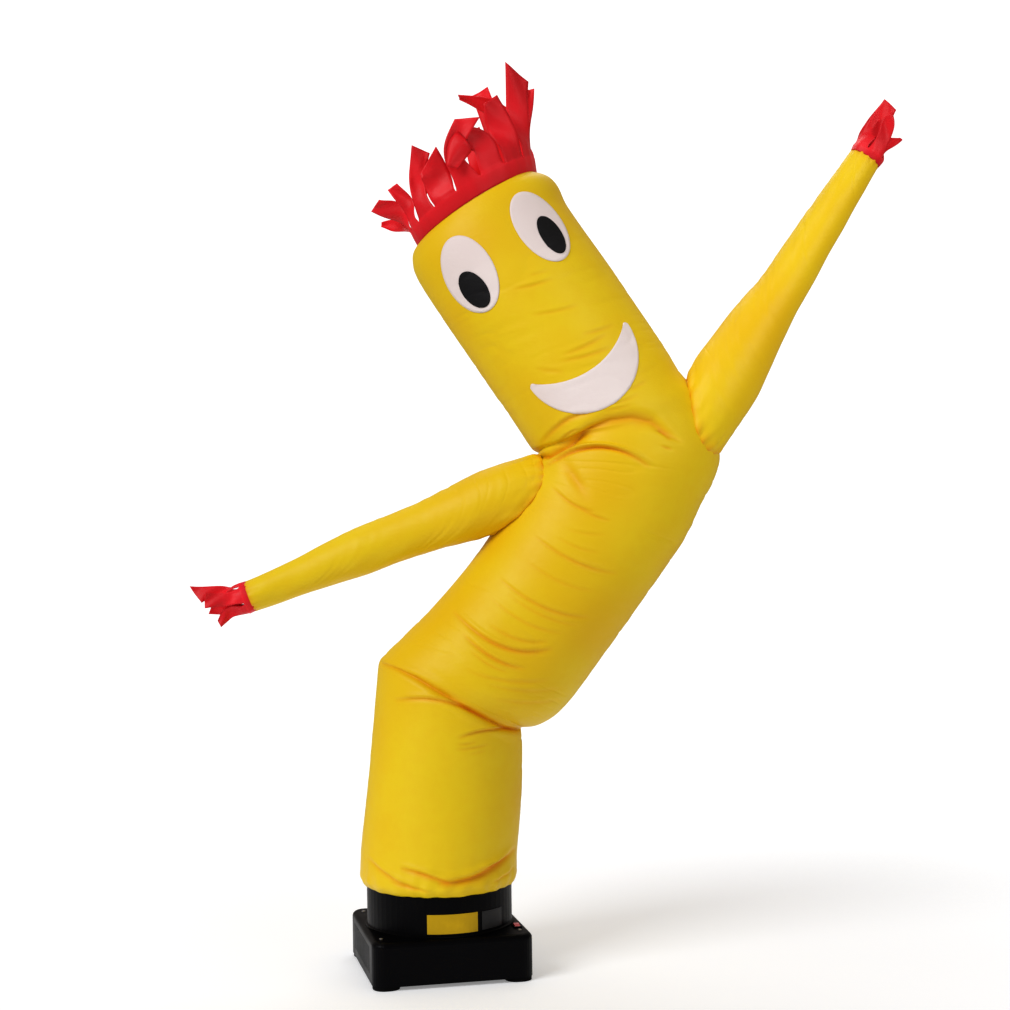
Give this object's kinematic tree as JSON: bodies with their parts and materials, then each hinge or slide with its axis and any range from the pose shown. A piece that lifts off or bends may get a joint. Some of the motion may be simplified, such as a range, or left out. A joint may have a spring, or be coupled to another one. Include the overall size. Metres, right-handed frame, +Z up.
{
  "type": "inflatable air dancer on its floor blower",
  "caption": "Inflated nylon tube figure with waving arms and a crown of cut strips, standing on a square floor blower.",
  "frame": {"origin": "middle of the blower's footprint, on the floor under its feet", "axes": "+Z up; -Y is the side of the blower with the plates, which the figure's face is turned towards; +X is to the right seen from there"},
  "size_m": [1.5319, 0.4421, 1.9276],
  "materials": {
    "yellow_nylon": "satin ripstop nylon, slightly sheer",
    "red_nylon": "satin nylon",
    "white_cloth": "matt white nylon",
    "black_cloth": "matt black nylon",
    "housing_plastic": "fine grained black plastic",
    "foot_rubber": "matt rubber",
    "screw_steel": "plated steel",
    "switch_red": "glossy red plastic",
    "plate_yellow": "plain yellow film",
    "plate_grey": "plain grey film"
  },
  "bodies": {
    "dancer": {"blower_base": "housing_plastic", "foot_1": "foot_rubber", "foot_2": "foot_rubber", "foot_3": "foot_rubber", "foot_4": "foot_rubber", "screw_1": "screw_steel", "screw_2": "screw_steel", "screw_3": "screw_steel", "screw_4": "screw_steel", "blower_collar": "housing_plastic", "plate_yellow": "plate_yellow", "plate_grey": "plate_grey", "switch_bezel": "housing_plastic", "body_tube": "yellow_nylon", "arm_left": "yellow_nylon", "arm_right": "yellow_nylon", "hair_crown": "red_nylon", "cuff_left": "red_nylon", "cuff_right": "red_nylon", "eye_white_left": "white_cloth", "eye_white_right": "white_cloth", "pupil_left": "black_cloth", "pupil_right": "black_cloth", "smile": "white_cloth"},
    "rocker": {"switch_rocker": "switch_red"}
  },
  "joints": [
    {"name": "switch", "type": "hinge", "parent": "dancer", "child": "rocker", "pos_m": [0.147, -0.096, 0.1013], "axis": [1, 0, 0], "range_deg": [-18, 0]}
  ]
}
